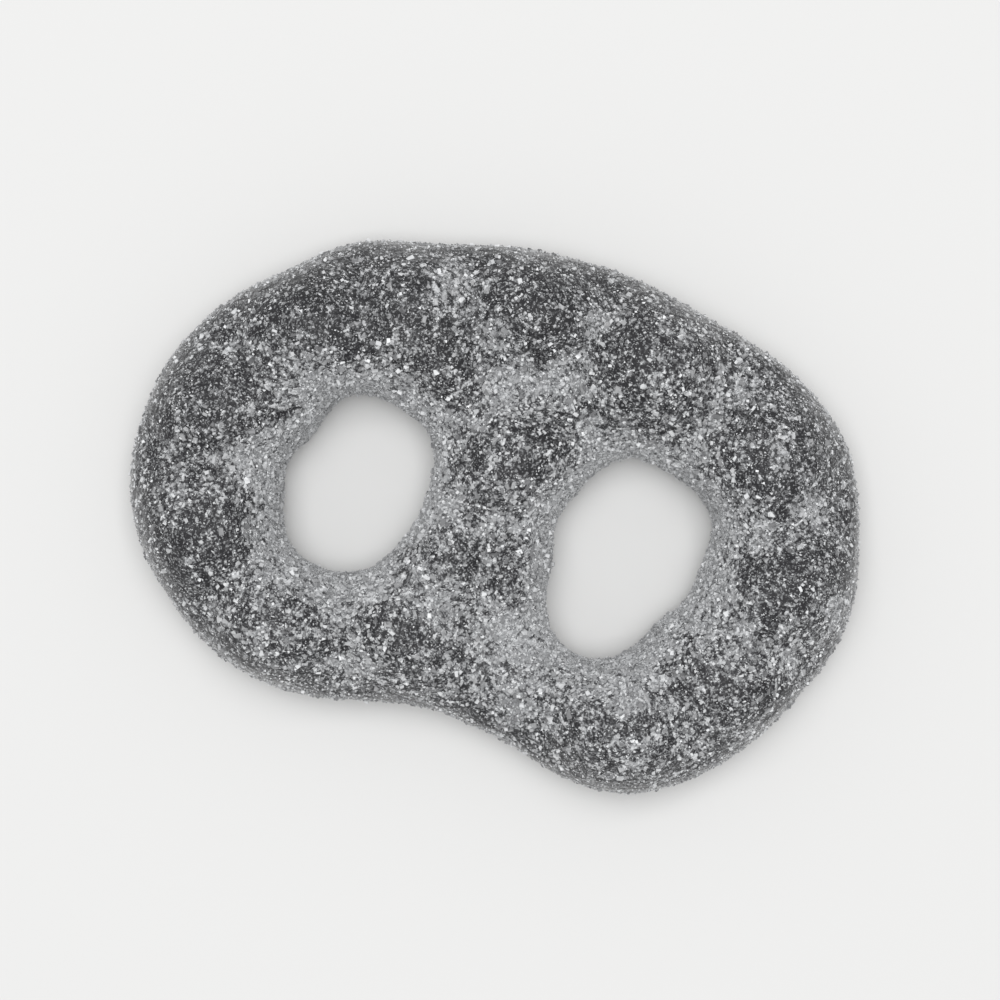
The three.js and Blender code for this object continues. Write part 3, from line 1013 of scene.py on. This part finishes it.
class LICORICE_OT_stage(bpy.types.Operator):
    """Makes the floor, the light and the camera"""

    bl_idname = "licorice_pretzel.stage"
    bl_label = "Make Stage"
    bl_options = {"REGISTER", "UNDO"}

    def execute(self, context):
        settings = context.scene.licorice_stage
        make_floor(settings)
        make_light(settings)
        make_camera(settings)
        return {"FINISHED"}


def make_floor(settings):
    half = settings.floor_size / 2
    corners = [(-half, -half, 0), (half, -half, 0), (half, half, 0), (-half, half, 0)]
    mesh = bpy.data.meshes.new("floor")
    mesh.from_pydata(corners, [], [(0, 1, 2, 3)])
    material, _, shader = new_material("Floor")
    shader.inputs["Base Color"].default_value = paint(settings.floor_colour)
    shader.inputs["Roughness"].default_value = FLOOR_ROUGHNESS
    mesh.materials.append(material)
    floor = bpy.data.objects.new("floor", mesh)
    bpy.context.scene.collection.objects.link(floor)


def make_light(settings):
    scene = bpy.context.scene
    scene.world = bpy.data.worlds.new("Studio")
    scene.world.use_nodes = True
    sky = scene.world.node_tree.nodes["Background"]
    sky.inputs["Color"].default_value = paint(SKY_COLOUR)
    sky.inputs["Strength"].default_value = settings.sky_strength
    lamp = bpy.data.lights.new("key", "AREA")
    lamp.size = settings.key_size
    lamp.energy = settings.key_power
    key = bpy.data.objects.new("key", lamp)
    key.location = KEY_PLACE
    key.rotation_euler = (-Vector(key.location)).to_track_quat("-Z", "Y").to_euler()
    key.visible_camera = False
    scene.collection.objects.link(key)
    scene.view_settings.view_transform = "Standard"


def make_camera(settings):
    """Looks straight down on the pretzel, turned as in the photograph."""
    low, high = (Vector(corner) for corner in CAD_BOX)
    data = bpy.data.cameras.new("camera")
    data.lens = settings.lens
    camera = bpy.data.objects.new("camera", data)
    distance = settings.frame_width * data.lens / data.sensor_width
    camera.location = (low + high) / 2 + Vector((0, 0, distance))
    camera.rotation_euler = Euler((0, 0, settings.roll))
    data.clip_start = distance / CLIP_DIVISOR
    bpy.context.scene.collection.objects.link(camera)
    bpy.context.scene.camera = camera


class LICORICE_PT_panel(bpy.types.Panel):
    """Settings and operators of the licorice pretzel"""

    bl_label = "Licorice Pretzel"
    bl_idname = "LICORICE_PT_panel"
    bl_space_type = "VIEW_3D"
    bl_region_type = "UI"
    bl_category = "Licorice Pretzel"

    def draw(self, context):
        layout = self.layout
        for operator, group in PANEL_ROWS:
            layout.operator(operator)
            settings = getattr(context.scene, group)
            for name in settings.__annotations__:
                layout.prop(settings, name)


PANEL_ROWS = (
    (LICORICE_OT_body.bl_idname, "licorice_body"),
    (LICORICE_OT_salt.bl_idname, "licorice_salt"),
    (LICORICE_OT_stage.bl_idname, "licorice_stage"),
)
SETTINGS = {
    "licorice_body": LicoriceSettings,
    "licorice_salt": SaltSettings,
    "licorice_stage": StageSettings,
}
CLASSES = (
    LicoriceSettings,
    SaltSettings,
    StageSettings,
    LICORICE_OT_body,
    LICORICE_OT_salt,
    LICORICE_OT_stage,
    LICORICE_PT_panel,
)


def register():
    for cls in CLASSES:
        bpy.utils.register_class(cls)
    for name, group in SETTINGS.items():
        setattr(bpy.types.Scene, name, bpy.props.PointerProperty(type=group))


def unregister():
    for name in SETTINGS:
        delattr(bpy.types.Scene, name)
    for cls in reversed(CLASSES):
        bpy.utils.unregister_class(cls)


def main():
    register()
    bpy.ops.licorice_pretzel.body()
    bpy.ops.licorice_pretzel.salt()
    bpy.ops.licorice_pretzel.stage()


if __name__ == "__main__":
    main()
